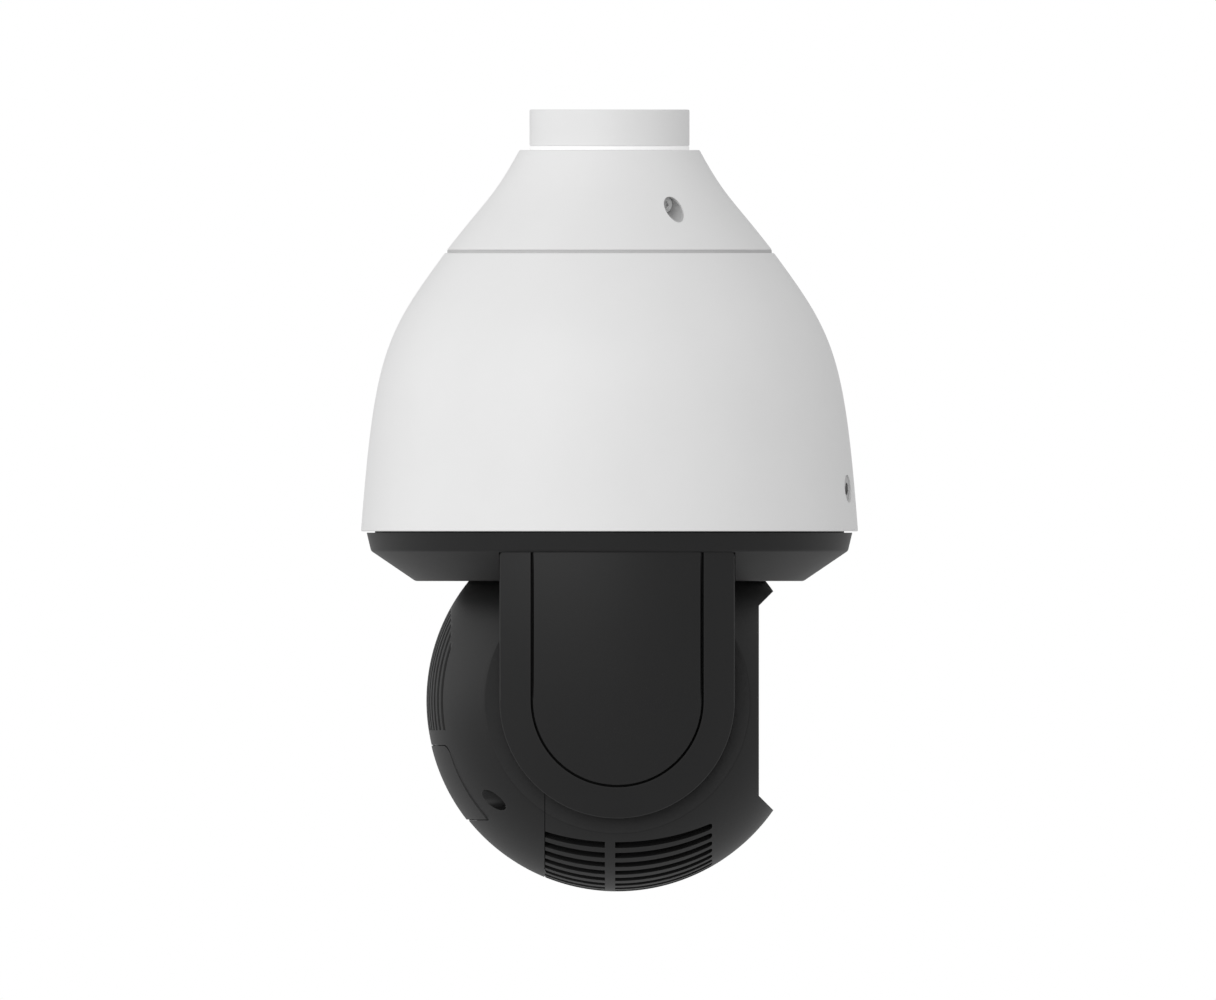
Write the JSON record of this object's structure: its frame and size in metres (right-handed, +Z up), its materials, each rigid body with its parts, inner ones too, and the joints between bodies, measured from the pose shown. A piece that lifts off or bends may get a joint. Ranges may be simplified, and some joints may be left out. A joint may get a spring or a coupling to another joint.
{
  "type": "ptz camera",
  "caption": "Pendant pan, tilt and zoom surveillance camera: a white bell housing over a black yoke that holds a finned ball head, hung from a pipe collar.",
  "frame": {"origin": "centre of the top face of the collar that the camera hangs from", "axes": "+Z up along the pan axis, +X the way the lens looks at rest, Y along the tilt axis"},
  "size_m": [0.2406, 0.2406, 0.3784],
  "materials": {
    "white_paint": "fine satin powder coat",
    "black_paint": "fine matt powder coat",
    "pale_rubber": "matt",
    "seal_rubber": "matt",
    "cast_aluminium": "machined",
    "steel": "brushed",
    "circuit_board": "solder mask",
    "black_plastic": "moulded",
    "window_glass": "polished, coated",
    "lens_glass": "polished, coated"
  },
  "bodies": {
    "housing": {"mounting_collar": "white_paint", "collar_gasket": "pale_rubber", "cone_cover": "white_paint", "cone_screw_front": "steel", "cone_screw_rear": "steel", "cone_seal": "seal_rubber", "bell_housing": "white_paint", "bell_screw_front": "steel", "bell_screw_rear": "steel", "chassis_plate": "cast_aluminium", "chassis_post_1": "steel", "chassis_post_2": "steel", "chassis_post_3": "steel", "slip_ring_bracket": "cast_aluminium", "slip_ring_stator": "black_plastic", "main_board": "circuit_board", "network_socket": "steel", "power_terminal": "black_plastic", "pan_motor": "black_plastic", "pan_belt": "seal_rubber", "pan_bearing": "steel"},
    "pan_drive": {"pan_motor_pulley": "steel"},
    "yoke": {"pan_base": "black_paint", "pan_shaft": "steel", "pan_pulley": "black_plastic", "slip_ring_rotor": "steel", "right_arm": "black_paint", "left_arm": "black_paint", "right_arm_cover": "black_paint", "left_arm_cover": "black_paint", "right_tilt_bearing": "steel", "left_tilt_bearing": "steel", "tilt_motor": "black_plastic", "tilt_belt": "seal_rubber"},
    "tilt_drive": {"tilt_motor_pulley": "steel"},
    "head": {"front_shell": "black_paint", "rear_shell": "black_paint", "shell_seal": "seal_rubber", "rear_hatch": "black_paint", "hatch_seal": "seal_rubber", "right_shell_screw": "steel", "left_shell_screw": "steel", "front_window": "window_glass", "window_gasket": "seal_rubber", "lens_mask": "black_plastic", "right_tilt_shaft": "steel", "left_tilt_shaft": "steel", "tilt_pulley": "black_plastic", "camera_body": "black_plastic", "lens_barrel": "black_plastic", "front_lens": "lens_glass", "sensor_board": "circuit_board", "camera_bracket": "cast_aluminium", "right_lamp_board": "circuit_board", "left_lamp_board": "circuit_board", "fan_frame": "black_plastic"},
    "fan": {"fan_rotor": "black_plastic"},
    "zoom_carriage": {"zoom_group": "lens_glass"},
    "focus_carriage": {"focus_group": "lens_glass"},
    "filter_carriage": {"ir_cut_filter": "lens_glass"}
  },
  "joints": [
    {"name": "pan", "type": "hinge", "parent": "housing", "child": "yoke", "pos_m": [0, 0, -0.2], "axis": [0, 0, 1], "continuous": true},
    {"name": "pan_motor_spin", "type": "hinge", "parent": "housing", "child": "pan_drive", "pos_m": [-0.072, 0, -0.133], "axis": [0, 0, 1], "continuous": true},
    {"name": "tilt", "type": "hinge", "parent": "yoke", "child": "head", "pos_m": [0.0037, 0, -0.2861], "axis": [0, 1, 0], "range_deg": [-20, 90]},
    {"name": "tilt_motor_spin", "type": "hinge", "parent": "yoke", "child": "tilt_drive", "pos_m": [0.0037, -0.09, -0.24], "axis": [0, 1, 0], "range_deg": [-65, 289]},
    {"name": "fan_spin", "type": "hinge", "parent": "head", "child": "fan", "pos_m": [0.0037, 0, -0.3331], "axis": [0, 0, 1], "continuous": true},
    {"name": "zoom", "type": "slide", "parent": "head", "child": "zoom_carriage", "axis": [1, 0, 0], "range_m": [0, 0.02]},
    {"name": "focus", "type": "slide", "parent": "head", "child": "focus_carriage", "axis": [1, 0, 0], "range_m": [-0.004, 0.004]},
    {"name": "filter_shift", "type": "slide", "parent": "head", "child": "filter_carriage", "axis": [0, 1, 0], "range_m": [0, 0.012]}
  ],
  "couplings": [
    {"joint": "pan_motor_spin", "follows": "pan", "ratio": 4.5},
    {"joint": "tilt_motor_spin", "follows": "tilt", "ratio": 3.2}
  ]
}
